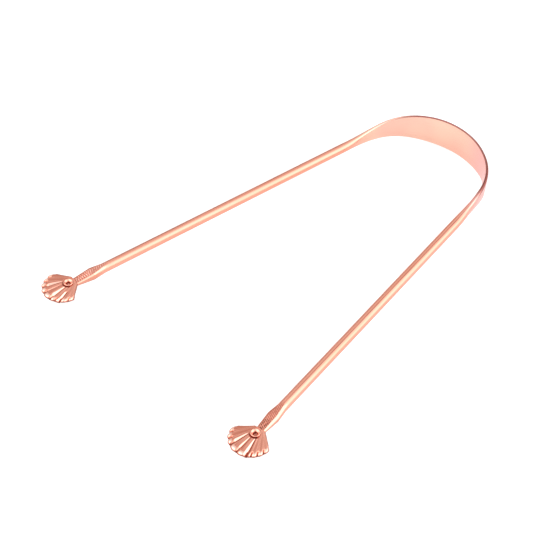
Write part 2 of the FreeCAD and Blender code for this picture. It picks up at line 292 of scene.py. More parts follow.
# The marks on top of the tangs: where they end and start, as distances before the rivet, their pitch and
# depth, and how far they slant for each step across
GROOVE_ENDS = (3.0 * MM, 7.2 * MM)
GROOVE_PITCH = 0.70 * MM
GROOVE_DEPTH = 0.06 * MM
GROOVE_SLANT_SHARE = 0.18
FILE_MARK_ENDS = (2.4 * MM, 12.4 * MM)
FILE_MARK_PITCH = 0.62 * MM
FILE_MARK_DEPTH = 0.03 * MM
FILE_SLANT_SHARES = (0.55, -1.1)
FILE_EASE_MARKS = 3


def ripple(to_rivet, y, pitch, slant_share):
    """A wave from -1 to 1 along the tang, slanting across it."""
    return math.cos(2 * math.pi * (to_rivet + slant_share * y) / pitch)


def striations(to_rivet, y):
    """Depth of the cross grooves that the left tang's wedge has on top."""
    end, start = GROOVE_ENDS
    if not end < to_rivet < start:
        return 0
    fade = min((to_rivet - end) / GROOVE_PITCH, (start - to_rivet) / GROOVE_PITCH, 1)
    groove_share = (1 - ripple(to_rivet, y, GROOVE_PITCH, GROOVE_SLANT_SHARE)) / 2
    return GROOVE_DEPTH * fade * groove_share**2


def hatching(to_rivet, y):
    """Depth of the fine crossing file marks that the right tang has on top."""
    end, start = FILE_MARK_ENDS
    if not end < to_rivet < start:
        return 0
    ease = FILE_EASE_MARKS * FILE_MARK_PITCH
    fade = min((to_rivet - end) / FILE_MARK_PITCH, (start - to_rivet) / ease, 1)
    waves = [ripple(to_rivet, y, FILE_MARK_PITCH, slant) for slant in FILE_SLANT_SHARES]
    return FILE_MARK_DEPTH * fade * (len(waves) - sum(waves)) / (2 * len(waves))


# How far the ribbon's lower edge leans in at each shoulder of the bend, where along the bow it does,
# and the height above the rod's centre that stays in place
SHOULDER_LEANS = {"left": 0 * MM, "right": 0.45 * MM}
LEAN_STRETCH = (12 * MM, 24 * MM, 34 * MM, 44 * MM)
LEAN_PIVOT = 3.0 * MM


def shoulder_lean(side_name, distance, up):
    """How far inward a point of the ribbon lies from the upright ribbon."""
    start, full, ease, end = LEAN_STRETCH
    share = smooth_step(distance, start, full) * smooth_fall(distance, ease, end)
    return SHOULDER_LEANS[side_name] * share * (LEAN_PIVOT - up) / (LEAN_PIVOT + BLADE_HEIGHT / 2)


# Between which heights of the ribbon its upper edge turns dark with painted shade, on each side
EDGE_HEIGHTS = {"left": (6.0 * MM, 10.5 * MM), "right": (3.2 * MM, 6.5 * MM)}


def edge_tones(side_name, distance):
    """Tones of a ribbon ring's points: painted shade darkens its upper edge, the more so the taller it is.
    """
    painted_dark = -smooth_step(ribbon_height(distance), *EDGE_HEIGHTS[side_name])
    return [painted_dark] * FACE_POINTS + [0] * (FACE_POINTS + 2 * SIDE_POINTS)


# Rings of points along each stretch of the bow, their spacing at the seam and on the marked tang, and the
# fold that shades as an edge
BEND_RINGS = 130
ROOT_RINGS = 26
ROD_RINGS = 50
TIP_RINGS = 16
SEAM_STEP = 0.02 * MM
MARKED_STEP = 0.07 * MM
BOW_FOLD = math.radians(42)


def bow_half(side_name, side, marks):
    """Half of the bow, from the middle of the bend to the tang's tip; side is 1 for left, -1 for right."""
    rod_end = rivet_at - TANG_LENGTH
    distances = [0, SEAM_STEP, *np.linspace(0, bend_length, BEND_RINGS)[1:]]
    distances += [*np.linspace(bend_length, flattened_length, ROOT_RINGS)[1:]]
    distances += [*np.linspace(flattened_length, rod_end, ROD_RINGS)[1:]]
    rings = [(distance, ribbon_ring(distance), edge_tones(side_name, distance)) for distance in distances]
    marked = round((TANG_LENGTH - NECK_DISTANCE) / MARKED_STEP)
    for to_rivet in np.linspace(TANG_LENGTH, NECK_DISTANCE, marked)[1:]:
        rings.append((rivet_at - to_rivet, *tang_ring(side_name, to_rivet, marks)))
    neck, neck_tones = tang_ring(side_name, NECK_DISTANCE, marks)
    rings.append((rivet_at - NECK_DISTANCE / 2, neck, neck_tones))
    for step in range(TIP_RINGS):
        turned = math.pi / 2 * step / TIP_RINGS
        ring = [(y * math.cos(turned), z) for y, z in neck]
        rings.append((rivet_at + NECK_RADIUS * math.sin(turned), ring, neck_tones))

    points, places, tones = [], [], []
    for distance, ring, ring_tones in rings:
        x, y, turned = along_bow(distance)
        tones += ring_tones
        for across, up in ring:
            out = across - shoulder_lean(side_name, distance, up)
            points.append((x + out * math.cos(turned), side * (y + out * math.sin(turned)), mid_z + up))
            places.append((distance / MM, across / MM, up / MM))
    faces = tube_faces(len(rings), 2 * (FACE_POINTS + SIDE_POINTS))
    if side > 0:
        faces = [face[::-1] for face in faces]
    half = mesh_object(side_name + "_bow_half", points, faces, places, tones)
    sharpen_edges(half, BOW_FOLD)
    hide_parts(side_name + "_arm", "scraping_blade")
    flex_start, flex_end = [(x, side * y, mid_z) for x, y, _ in map(along_bow, FLEX_ENDS)]
    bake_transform(half)
    return half


# Finger shells, in a frame of their own: X outward from the rivet, along the arm, and Z up from the rod's
# centre. Each fans out from a point behind the rivet to a rim that is an arc.
SHEET = 0.5 * MM
FAN_ORIGIN = 3.8 * MM
FAN_HALF_ANGLE = math.radians(46.8)
# How much wider each shell opens at the rim on the side of its first valley
FAN_SPREADS = {"left": math.radians(3), "right": math.radians(5)}
BACK_EDGE = 2.1 * MM
RIM_RADIUS = 6.25 * MM
RIM_CENTRE = 2.0 * MM
FLUTE_DEPTH = 0.50 * MM
FLUTE_RISE = 0.28 * MM
SCALLOP = 0.38 * MM
LIP_DROP = 0.62 * MM
CROWN_DROP = 0.35 * MM
SHELL_TOP = 1.07 * MM
HOLE_RADIUS = 1.0 * MM
SEAT_RADIUS = 1.60 * MM
SEAT_WALL = 0.45 * MM
BACK_SLOPE = 5 * SEAT_WALL
LOBE_END = 1.05 * MM
LOBE_CROWN = 0.05 * MM
DOME_DROP = 0.20 * MM
END_TURN = math.radians(82)
END_DROP_SHARE = 1.05
DROOP_SHARE = 0.14
# Where a change along a flute starts and ends, as shares of the way to the rim
DROOP_ENDS_SHARES = (0.45, 1.4)
VALLEY_END_SHARES = (0.84, 0.98)
RIM_SHARES = (0.90, 1.0)
DOME_SHARES = (0.95, 1.0)
# The step round the seat is gentle behind the rivet and steep from these shares of straight ahead
AHEAD_SHARES = (0.2, 0.75)
# Valleys: steepness of the wide side and of the narrow side, the wide side's width at the seat and at the
# rim, and the length in which one reaches its depth
WIDE_SLOPE_SHARE = 0.60
NARROW_SLOPE_SHARE = 1.15
VALLEY_SOFTNESS = 0.025 * MM
VALLEY_WIDTHS = (0.20 * MM, 0.90 * MM)
VALLEY_START_LENGTH = 1.3 * SEAT_WALL
# A notch's share of the full width, and the share below which a cut fades out
NOTCH_SHARE = 0.25
SHALLOW_SHARE = 0.1
# Each shell's valleys: degrees from the middle, share of the full width, where it starts from the rivet,
# and the share of it that's left at the rim. Between them are notches in the rim only.
Valley = namedtuple("Valley", "degrees width_share start left_share")
SEAT_EDGE = 1.65 * MM
VALLEYS = {
    "left": [
        Valley(-15.5, 0.85, SEAT_EDGE, 0.4),
        Valley(-4.5, 0.45, SEAT_EDGE, 0.5),
        Valley(10.0, 0.95, SEAT_EDGE, 0.6),
        Valley(25.0, 0.85, 3.4 * MM, 0.8),
    ],
    "right": [
        Valley(-16.3, 0.80, SEAT_EDGE, 0.4),
        Valley(-2.3, 0.58, SEAT_EDGE, 0.6),
        Valley(12.3, 0.90, SEAT_EDGE, 1.0),
    ],
}
RIM_NOTCHES = {"left": (-36, -26, 18.5, 37.5), "right": (-36, -26, 18.5, 27, 36.5)}
# Lines of points along and across a shell, and the fold that shades as an edge
POINTS_PER_LOBE = 22
RADIAL_LINES = 60
END_LINES = 16
SHELL_FOLD = math.radians(50)


def rim_distance(turned):
    centre = FAN_ORIGIN + RIM_CENTRE
    return centre * math.cos(turned) + math.sqrt(RIM_RADIUS**2 - (centre * math.sin(turned)) ** 2)


def back_distance(turned):
    return (FAN_ORIGIN - BACK_EDGE) / math.cos(turned)


def valley_depth(off_line, width):
    """Depth of a valley at a distance from its line, negative on its wide side; width is that side's."""
    if off_line > 0:
        off_line *= NARROW_SLOPE_SHARE / WIDE_SLOPE_SHARE
    inside = math.log1p(math.exp((width - abs(off_line)) / VALLEY_SOFTNESS))
    return WIDE_SLOPE_SHARE * VALLEY_SOFTNESS * inside


# Tones across a valley, painted shade on its narrow side and painted highlight on its wide side: where its
# dark narrow side starts and, beyond half its width, fades; where its bright wide side starts and, in
# shares of half its width, fades; and from which width each shows
DARK_START = (-0.07 * MM, 0.02 * MM)
DARK_FADE = (0.10 * MM, 0.35 * MM)
DARK_WIDTH_SHARES = (0.05, 0.5)
BRIGHT_START = (-0.10 * MM, -0.03 * MM)
BRIGHT_FADE_SHARES = (-2.2, -1.8)
BRIGHT_WIDTH_SHARES = (0.2, 0.7)
BRIGHT_SHARE = 0.85
# Tones at the rim, painted shade in the notches and on the lip and a painted highlight on each dome: the
# lip's turns where the notches widen and where it goes dark, the darkness of a notch on top and on the lip,
# how near to the notch it starts, and how far the dome's painted highlight reaches
LIP_TURNS = (math.radians(12), math.radians(45))
DARK_LIP_TURNS = (math.radians(44), math.radians(64))
NOTCH_DARKNESS_SHARES = (0.4, 1.0)
NOTCH_START_SHARES = (0.82, 0.57)
NOTCH_FULL_SHARE = 0.97
DOME_REACH_SHARES = (0.35, 0.75)
# Painted shade round the seat and along the side and back edges
SEAT_LINE = 0.35 * MM
EDGE_LINE = (0.05 * MM, 0.28 * MM)
EDGE_SHARE = 0.8


def valley_tones(off_line, reach):
    """How much painted shade a point gets on a valley's narrow side, and how much painted highlight on its
    wide side, at a distance from its line; reach is half the width of the wide side."""
    dark_fade = [reach + fade for fade in DARK_FADE]
    dark = smooth_step(off_line, *DARK_START) * smooth_fall(off_line, *dark_fade)
    if reach <= 0:
        return dark, 0
    bright_fade = [share * reach for share in BRIGHT_FADE_SHARES]
    return dark, smooth_fall(off_line, *BRIGHT_START) * smooth_step(off_line, *bright_fade)


def rim_tones(end_angle, to_rim, off_crest):
    """How much painted shade a point gets in a notch or on the lip, and how much painted highlight on
    the dome of a lobe.
    """
    lip = smooth_step(end_angle, *LIP_TURNS)
    darkness = line_through(lip, 0, NOTCH_DARKNESS_SHARES[0], 1, NOTCH_DARKNESS_SHARES[1])
    notch_start = line_through(lip, 0, NOTCH_START_SHARES[0], 1, NOTCH_START_SHARES[1])
    notch = darkness * smooth_step(off_crest, notch_start, NOTCH_FULL_SHARE)
    dark = max(notch * smooth_step(to_rim, *RIM_SHARES), smooth_step(end_angle, *DARK_LIP_TURNS))
    return dark, smooth_step(to_rim, *DOME_SHARES) * smooth_fall(off_crest, *DOME_REACH_SHARES)


def edge_tone(side_gap, back_gap, from_rivet, ahead):
    """How much painted shade a point gets round the seat and along the side and back edges."""
    return max(
        ahead * smooth_fall(from_rivet, SEAT_RADIUS, SEAT_RADIUS + SEAT_LINE),
        EDGE_SHARE * smooth_fall(side_gap, *EDGE_LINE),
        EDGE_SHARE * smooth_fall(back_gap, *EDGE_LINE),
    )


Column = namedtuple("Column", "angle spread off_crest valley")


def shell_columns(side_name):
    """Directions across a shell, close together at the valleys: each with how far it turns on towards the
    rim, its share of the way from the lobe's crest, and the nearest valley or notch."""
    half = math.degrees(FAN_HALF_ANGLE)
    notches = [Valley(degrees, 0, SEAT_EDGE, 0) for degrees in (-half, *RIM_NOTCHES[side_name], half)]
    valleys = sorted(VALLEYS[side_name] + notches)
    columns = []
    for first, last in zip(valleys, valleys[1:]):
        for step in range(POINTS_PER_LOBE):
            off_crest = -math.cos(math.pi * step / POINTS_PER_LOBE)
            middle, reach = (first.degrees + last.degrees) / 2, (last.degrees - first.degrees) / 2
            nearest = first if off_crest < 0 else last
            angle = math.radians(middle + reach * off_crest)
            spread = FAN_SPREADS[side_name] * min(angle / FAN_HALF_ANGLE, 0) ** 2
            columns.append(Column(angle, spread, abs(off_crest), nearest))
    columns.append(Column(FAN_HALF_ANGLE, 0, 1, valleys[-1]))
    return columns


def shell_point(end_angle, to_rim, column, is_top):
    """A point of the shell and its tone. to_rim is the way along the flute; end_angle turns its end down
    to the rim."""
    angle, spread, off_crest, valley = column
    turned = angle - spread * to_rim
    back, rim = back_distance(angle), rim_distance(angle)
    distance = back + (rim - LOBE_END - back) * to_rim + LOBE_END * math.sin(end_angle)
    x = distance * math.cos(turned) - FAN_ORIGIN
    from_rivet = math.hypot(x, distance * math.sin(turned))
    near_rim = smooth_step(to_rim, *RIM_SHARES)

    left_over = line_through(smooth_fall(to_rim, *VALLEY_END_SHARES), 0, valley.left_share, 1, 1)
    share = max(valley.width_share * left_over, NOTCH_SHARE * near_rim)
    width = share * line_through(from_rivet, SEAT_RADIUS, VALLEY_WIDTHS[0], RIM_RADIUS, VALLEY_WIDTHS[1])
    started = smooth_step(from_rivet, valley.start, valley.start + VALLEY_START_LENGTH)
    off_line = (angle - math.radians(valley.degrees)) * distance
    cut = min(valley_depth(off_line, width), FLUTE_DEPTH)

    ahead = smooth_step(x / max(from_rivet, MM), *AHEAD_SHARES)
    step = smooth_step(from_rivet, SEAT_RADIUS, SEAT_RADIUS + SEAT_WALL)
    slope = smooth_step(from_rivet, SEAT_RADIUS - SEAT_WALL, SEAT_RADIUS + BACK_SLOPE)
    sideways = math.sin(angle) / math.sin(FAN_HALF_ANGLE)
    height = SHELL_TOP
    height += (ahead * step + (1 - ahead) * slope) * (FLUTE_RISE - CROWN_DROP * sideways**2)
    height -= DROOP_SHARE * LIP_DROP * smooth_step(to_rim, *DROOP_ENDS_SHARES)
    height -= END_DROP_SHARE * LIP_DROP * (1 - math.cos(end_angle))
    height -= started * cut * smooth_step(share, 0, SHALLOW_SHARE)
    height -= (near_rim * DOME_DROP + step * LOBE_CROWN) * off_crest**2
    distance -= near_rim * SCALLOP * off_crest**2
    if not is_top:
        distance -= SHEET * math.sin(end_angle)
        height -= SHEET * math.cos(end_angle)

    side_gap = (FAN_HALF_ANGLE - abs(angle)) * distance
    # Painted shade in valleys, notches, lip, seat and edges; painted highlight on wide slopes and domes
    dark_side, bright_side = valley_tones(off_line, width / 2)
    dark_side *= started * smooth_step(valley.width_share, *DARK_WIDTH_SHARES)
    bright_side *= BRIGHT_SHARE * started * left_over**2
    bright_side *= smooth_step(valley.width_share, *BRIGHT_WIDTH_SHARES)
    dark_rim, bright_dome = rim_tones(end_angle, to_rim, off_crest)
    dark = max(dark_side, dark_rim, edge_tone(side_gap, x + BACK_EDGE, from_rivet, ahead))
    tone = max(bright_side, bright_dome) * (1 - dark) - dark
    return (distance * math.cos(turned) - FAN_ORIGIN, distance * math.sin(turned), height), tone


def sheet_faces(lines, count):
    """Faces of a sheet with so many lines of points on top, as many below, and a strip round its border."""
    per_side = lines * count
    faces = []
    for line in range(lines - 1):
        for column in range(count - 1):
            first = line * count + column
            quad = (first, first + 1, first + count + 1, first + count)
            faces.append(quad[::-1])
            faces.append(tuple(per_side + corner for corner in quad))
    border = list(range(count))
    border += [line * count + count - 1 for line in range(1, lines)]
    border += [(lines - 1) * count + column for column in range(count - 2, -1, -1)]
    border += [line * count for line in range(lines - 2, 0, -1)]
    for point, following in zip(border, border[1:] + border[:1]):
        faces.append((point, following, per_side + following, per_side + point))
    return faces


# How wide a radian across the fan is drawn in the material, in millimetres
RADIAN_WIDTH = 10


def finger_shell(side_name, side):
    """The pressed, fluted sheet with its hole for the rivet."""
    columns = shell_columns(side_name)
    lines = [(0, line / RADIAL_LINES) for line in range(RADIAL_LINES)]
    lines += [(END_TURN * line / END_LINES, 1) for line in range(END_LINES + 1)]
    points, places, tones = [], [], []
    for is_top in (True, False):
        for end_angle, to_rim in lines:
            for column in columns:
                (x, y, z), tone = shell_point(end_angle, to_rim, column, is_top)
                points.append((x, y, z))
                tones.append(tone)
                places.append((math.hypot(x + FAN_ORIGIN, y) / MM, column.angle * RADIAN_WIDTH, z / MM))
    faces = sheet_faces(len(lines), len(columns))
    shell = mesh_object(side_name + "_fluted_shell", points, faces, places, tones)
    sharpen_edges(shell, SHELL_FOLD)
    drill(shell, HOLE_RADIUS)
    shell.data.transform(rivet_frame(side_name, side))
    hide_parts(side_name + "_finger_shell")
    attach(shell, side_name + "_shell")
    return shell


def sharpen_edges(piece, least_angle):
    """Marks the edges that fold by more than an angle, so that their shading breaks there."""
    maker = bmesh.new()
    maker.from_mesh(piece.data)
    for edge in maker.edges:
        edge.smooth = edge.calc_face_angle(0) < least_angle
    maker.to_mesh(piece.data)
    maker.free()


DRILL_LENGTH = 10 * MM
DRILL_SIDES = 48


def drill(piece, radius):
    """Cuts a round hole along Z through the piece, at its own origin."""
    mesh = bpy.data.meshes.new("drill")
    maker = bmesh.new()
    bmesh.ops.create_cone(
        maker, cap_ends=True, segments=DRILL_SIDES, radius1=radius, radius2=radius, depth=DRILL_LENGTH
    )
    maker.to_mesh(mesh)
    maker.free()
    bit = bpy.data.objects.new("drill", mesh)
    bpy.context.scene.collection.objects.link(bit)
    cut = piece.modifiers.new("hole", "BOOLEAN")
    cut.object = bit
    cut.operation = "DIFFERENCE"
    cut.solver = "EXACT"
    bpy.context.view_layer.update()
    drilled = bpy.data.meshes.new_from_object(piece.evaluated_get(bpy.context.evaluated_depsgraph_get()))
    piece.modifiers.clear()
    piece.data = drilled
    bpy.data.objects.remove(bit)


def rivet_frame(side_name, side):
    """From a shell's own frame to the part's: the rivet's axis, with X outward along the arm."""
    swivel = next(joint for joint in frame["joints"] if joint["name"] == side_name + "_shell_swivel")
    _, _, turned = along_bow(rivet_at)
    spin = Matrix.Rotation(side * (math.pi / 2 + turned), 4, "Z")
    return Matrix.Translation(Vector(swivel["pos_m"])) @ spin


# Rivets
SHANK_RADIUS = 0.95 * MM
TUBE_RADIUS = 0.55 * MM
TUBE_DEPTH = 1.25 * MM
TUBE_FLOOR_RISE = 0.05 * MM
TUBE_FLOOR_SHARE = 0.8
ROLL_RADIUS = 1.45 * MM
ROLL_CREST = 1.24 * MM
ROLL_HEIGHT = 0.42 * MM
ROLL_FOOT = 0.10 * MM
ROLL_UNDERCUT = 0.05 * MM
FUNNEL_DEPTH = 0.54 * MM
FUNNEL_EASE_SHARE = 1.35
HEAD_RADIUS = 1.5 * MM
HEAD_HEIGHT = 0.5 * MM
STACK_TOP = 1.09 * MM
ARC_STEPS = 12
AROUND_RIVET = 72
# Tones of painted shade: the hollow is dark out to these shares of the tube's radius, and the roll's foot
# up to these shares of its height
HOLLOW_SHARES = (1.05, 1.6)
FOOT_SHARES = (0.45, 0.97)
# How much wider than its radius each ring is drawn in the material
RING_STRETCH = 10


def rivet_outline():
    """The rivet's outline as (radius, height), from its low domed head below to the floor of its hollow."""
    dome = (HEAD_RADIUS**2 + HEAD_HEIGHT**2) / (2 * HEAD_HEIGHT)
    opening = math.asin(HEAD_RADIUS / dome)
    outline = []
    for step in range(1, ARC_STEPS + 1):
        turned = opening * step / ARC_STEPS
        height = -NECK_FLAT - HEAD_HEIGHT + dome * (1 - math.cos(turned))
        outline.append((dome * math.sin(turned), height))
    outline += [(SHANK_RADIUS, -NECK_FLAT), (SHANK_RADIUS, STACK_TOP)]
    outline.append((ROLL_RADIUS - ROLL_UNDERCUT, STACK_TOP))
    for step in range(ARC_STEPS + 1):
        turned = math.pi / 2 * step / ARC_STEPS
        radius = ROLL_CREST + (ROLL_RADIUS - ROLL_CREST) * math.cos(turned)
        outline.append((radius, STACK_TOP + ROLL_FOOT + (ROLL_HEIGHT - ROLL_FOOT) * math.sin(turned)))
    for step in range(1, ARC_STEPS + 1):
        share = step / ARC_STEPS
        height = STACK_TOP + ROLL_HEIGHT - FUNNEL_DEPTH * share**FUNNEL_EASE_SHARE
        outline.append((ROLL_CREST + (TUBE_RADIUS - ROLL_CREST) * share, height))
    floor = STACK_TOP + ROLL_HEIGHT - TUBE_DEPTH
    return outline + [(TUBE_RADIUS, floor + TUBE_FLOOR_RISE), (TUBE_RADIUS * TUBE_FLOOR_SHARE, floor)]


def rivet_tone(radius, height):
    """Tone of a ring of the outline: painted shade in the hollow and at the roll's foot."""
    if height <= 0:
        return 0
    in_hollow = smooth_fall(radius, *[share * TUBE_RADIUS for share in HOLLOW_SHARES])
    above_foot = smooth_step(height - STACK_TOP, *[share * ROLL_HEIGHT for share in FOOT_SHARES])
    return -max(in_hollow, 1 - above_foot if radius > ROLL_CREST else 0)


def rivet(side_name, side):
    """A semi-tubular rivet: low domed head below, hollow end rolled over the shell above."""
    outline = rivet_outline()
    points, tones = [], []
    for radius, height in outline:
        tones += [rivet_tone(radius, height)] * AROUND_RIVET
        for spot in range(AROUND_RIVET):
            turned = 2 * math.pi * spot / AROUND_RIVET
            points.append((radius * math.cos(turned), radius * math.sin(turned), height))
    faces = tube_faces(len(outline), AROUND_RIVET)
    places = [(RING_STRETCH * math.hypot(x, y) / MM, math.atan2(y, x), z / MM) for x, y, z in points]
    piece = mesh_object(side_name + "_rolled_rivet", points, faces, places, tones)
    piece.data.transform(rivet_frame(side_name, side))
    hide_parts(side_name + "_rivet")
    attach(piece, side_name + "_arm")
    return piece


# Materials
def plug(tree, socket, value):
    """Sets an input to a value, or links it to another node's socket."""
    if isinstance(value, bpy.types.NodeSocket):
        tree.links.new(value, socket)
    else:
        socket.default_value = value


def add(tree, kind, **inputs):
    """A node with some of its inputs set, each to a value or to a socket."""
    node = tree.nodes.new(kind)
    for name, value in inputs.items():
        plug(tree, node.inputs[name.replace("_", " ")], value)
    return node


def attribute_of(tree, name):
    """The sockets of what the mesh says of its points: their place or their tone."""
    node = tree.nodes.new("ShaderNodeAttribute")
    node.attribute_name = name
    return node.outputs


def noise(tree, scale, detail):
    """Noise over the metal; its scale is in cycles per millimetre along, across and up."""
    place = attribute_of(tree, "place")["Vector"]
    mapping = add(tree, "ShaderNodeMapping", Vector=place, Scale=scale)
    texture = add(tree, "ShaderNodeTexNoise", Vector=mapping.outputs["Vector"], Detail=detail, Scale=1.0)
    return texture.outputs["Fac"]


def ramp(tree, value, levels, colours):
    """A colour that goes from one to another between two levels of a value."""
    node = add(tree, "ShaderNodeValToRGB", Fac=value)
    for element, level, colour in zip(node.color_ramp.elements, levels, colours):
        element.position = level
        element.color = (*colour, 1)
    return node.outputs["Color"]


def math_node(tree, operation, first, second=0):
    """A maths node; each input is a number or a socket."""
    node = tree.nodes.new("ShaderNodeMath")
    node.operation = operation
    plug(tree, node.inputs[0], first)
    plug(tree, node.inputs[1], second)
    return node.outputs[0]


def product(tree, *values):
    """The values multiplied together."""
    result = values[0]
    for value in values[1:]:
        result = math_node(tree, "MULTIPLY", result, value)
    return result


def mixed(tree, share, first, second):
    """A colour between two others; each is a colour or a socket."""
    node = tree.nodes.new("ShaderNodeMix")
    node.data_type = "RGBA"
    for name, value in (("Factor_Float", share), ("A_Color", first), ("B_Color", second)):
        socket = next(socket for socket in node.inputs if socket.identifier == name)
        plug(tree, socket, (*value, 1) if isinstance(value, tuple) else value)
    return next(socket for socket in node.outputs if socket.identifier == "Result_Color")


def place_parts(tree):
    """The place on the metal as three sockets: along, across and up, in millimetres."""
    return add(tree, "ShaderNodeSeparateXYZ", Vector=attribute_of(tree, "place")["Vector"]).outputs


def tone_of(tree):
    return attribute_of(tree, "tone")["Fac"]


def between(tree, value, start, end):
    """A share that goes from 0 to 1 as the value goes from start to end."""
    node = add(tree, "ShaderNodeMapRange", Value=value, From_Min=start, From_Max=end)
    node.interpolation_type = "SMOOTHSTEP"
    return node.outputs["Result"]


def grey(level):
    return (level,) * 3


# Tones between which painted shade and painted highlight come in, levels of noise for the roughness, and
# the relief's height
DARK_TONES = (-0.1, -1.0)
BRIGHT_TONES = (0.1, 0.9)
ROUGHNESS_LEVELS = (0.3, 0.7)
RELIEF_HEIGHT = 0.02 * MM


def metal(name):
    material = bpy.data.materials.new(name)
    material.use_nodes = True
    shader = material.node_tree.nodes["Principled BSDF"]
    shader.inputs["Metallic"].default_value = 1.0
    return material, material.node_tree, shader


def roughness_of(tree, relief, least_and_most):
    """Roughness that follows the relief."""
    return ramp(tree, relief, ROUGHNESS_LEVELS, [grey(level) for level in least_and_most])


def finish_metal(tree, shader, colour, roughness, relief, strength):
    tree.links.new(colour, shader.inputs["Base Color"])
    tree.links.new(roughness, shader.inputs["Roughness"])
    bump = add(tree, "ShaderNodeBump", Strength=strength, Distance=RELIEF_HEIGHT, Height=relief)
    tree.links.new(bump.outputs["Normal"], shader.inputs["Normal"])


# The blade's pale bands, the colder pink of painted shade on its right shoulder and the painted shade of
# its nearly brown upper edge; the drawn wire; and the painted highlight and painted shade from the tones
BLADE_PALE = (0.97, 0.64, 0.50)
BLADE_PINK = (0.96, 0.57, 0.46)
BLADE_ROSE_SHADE = (0.95, 0.515, 0.475)
BLADE_EDGE_SHADE = (0.30, 0.10, 0.085)
ARM_DEEP = (0.88, 0.36, 0.25)
ARM_COPPER = (0.93, 0.41, 0.30)
BEVEL_HIGHLIGHT = (0.95, 0.51, 0.39)
ARM_SHADE = (0.44, 0.155, 0.10)
# Noise over the bow, each with its scale and detail, and the levels between which its colours change
BAND_NOISE = ((0.07, 0.05, 0.05), 1.0)
BAND_LEVELS = (0.40, 0.60)
STREAK_NOISE = ((0.025, 2.2, 2.2), 4.0)
STREAK_LEVELS = (0.38, 0.55)
# How much of the cold pink, a painted shade, each side has, and between which places along the bow, in
# millimetres from its middle, it comes in and the blade gives way to wire
ROSE_SHARES = {"left": 0.0, "right": 1.0}
ROSE_PLACES = (0, 14)
WIRE_PLACES = (26, 44)
BOW_ROUGHNESS = (0.20, 0.28)
BOW_RELIEF_SHARE = 0.05
# The line that the drawing die left along each arm: its place outward from the arm's top, half its width,
# its core's half width and the heights where it fades, in millimetres, and where it breaks off
DIE_LINE_ACROSS = 0.22
DIE_LINE_HALF = 0.20
DIE_LINE_CORE = 0.04
DIE_LINE_HEIGHTS = (0.2, 0.8)
DIE_LINE_NOISE = ((0.08, 0, 0), 2.0)
DIE_LINE_LEVELS = (0.1, 0.8)
DIE_LINE_COLOUR = (0.55, 0.20, 0.14)
# How dark the painted shade on each arm's left side is at the bend and at the tang. In millimetres: where
# it changes, before the rivet, how far across it starts, and how wide its edge is
SIDE_SHADE_SHARES = {"left": (0.45, 1.0), "right": (0.45, 0.6)}
SIDE_SHADE_PLACES = (70, 20)
SIDE_SHADE_STARTS = {"left": 0.35, "right": 0.62}
SIDE_SHADE_EDGE = 0.4
# Colour of each tang, of its stains and of its marks
TANG_COLOURS = {"left": (0.66, 0.25, 0.18), "right": (0.58, 0.20, 0.14)}
TANG_STAINS = {"left": (0.50, 0.16, 0.11), "right": (0.24, 0.075, 0.045)}
TANG_MARKS = {"left": (0.97, 0.62, 0.52), "right": (0.90, 0.44, 0.34)}
TANG_ROUGHNESS = 0.38
# In millimetres: where the tang's colour and its stains come in, before the rivet, and how near to its
# flats it lies
TANG_PLACES = (13.5, 11.5)
STAIN_PLACES = (9, 3)
FLAT_GAPS = (0.06, 0.03)
STAIN_NOISE = ((1.1, 1.6, 1.6), 4.0)
STAIN_LEVELS = (0.43, 0.57)
# Bright lines on the flats: how far they slant for each step across, the level of the wave from which they
# show, and where they break off
LINE_SLANT_SHARES = {"left": 0.35, "right": -0.55}
LINE_PITCHES = {"left": GROOVE_PITCH, "right": FILE_MARK_PITCH}
LINE_LEVELS = {"left": 0.2, "right": 0.3}
LINE_NOISE = ((0.9, 1.5, 0), 2.0)
LINE_BREAK_LEVELS = (0.35, 0.6)


def before_rivet(places):
    """Places along the bow, in millimetres, from distances before the rivet."""
    return [rivet_at / MM - place for place in places]


def bow_material(side_name):
    """Pale rolled blade with a dark upper edge of painted shade, drawn wire with lines along it and a
    matte, forged tang, with painted shade on the arms and tangs and a painted highlight on the tangs'
    bevels.
    """
    material, tree, shader = metal(side_name + "_bow_copper")
    along, across, up = place_parts(tree)
    blade = ramp(tree, noise(tree, *BAND_NOISE), BAND_LEVELS, (BLADE_PALE, BLADE_PINK))
    # Painted shade: a colder pink on the right shoulder of the blade
    rose_shade = product(tree, between(tree, along, *ROSE_PLACES), ROSE_SHARES[side_name])
    blade = mixed(tree, rose_shade, blade, BLADE_ROSE_SHADE)
    streaks = noise(tree, *STREAK_NOISE)
    on_wire = between(tree, along, *WIRE_PLACES)
    colour = mixed(tree, on_wire, blade, wire_colour(tree, side_name, streaks, along, across, up))
    off_flat = math_node(tree, "ABSOLUTE", flat_gap(tree, along, up))
    on_tang = between(tree, along, *before_rivet(TANG_PLACES))
    on_flat = product(tree, on_tang, between(tree, off_flat, *FLAT_GAPS))
    colour = mixed(tree, on_flat, colour, tang_colour(tree, side_name, along, across))
    tone = tone_of(tree)
    # Painted shade: the blade's dark upper edge, and the shade on the arms and tangs
    painted_dark = mixed(tree, on_wire, BLADE_EDGE_SHADE, ARM_SHADE)
    colour = mixed(tree, between(tree, tone, *DARK_TONES), colour, painted_dark)
    # Painted highlight on the tangs' bevels
    colour = mixed(tree, between(tree, tone, *BRIGHT_TONES), colour, BEVEL_HIGHLIGHT)
    roughness = roughness_of(tree, streaks, BOW_ROUGHNESS)
    roughness = mixed(tree, on_flat, roughness, grey(TANG_ROUGHNESS))
    finish_metal(tree, shader, colour, roughness, streaks, BOW_RELIEF_SHARE)
    return material


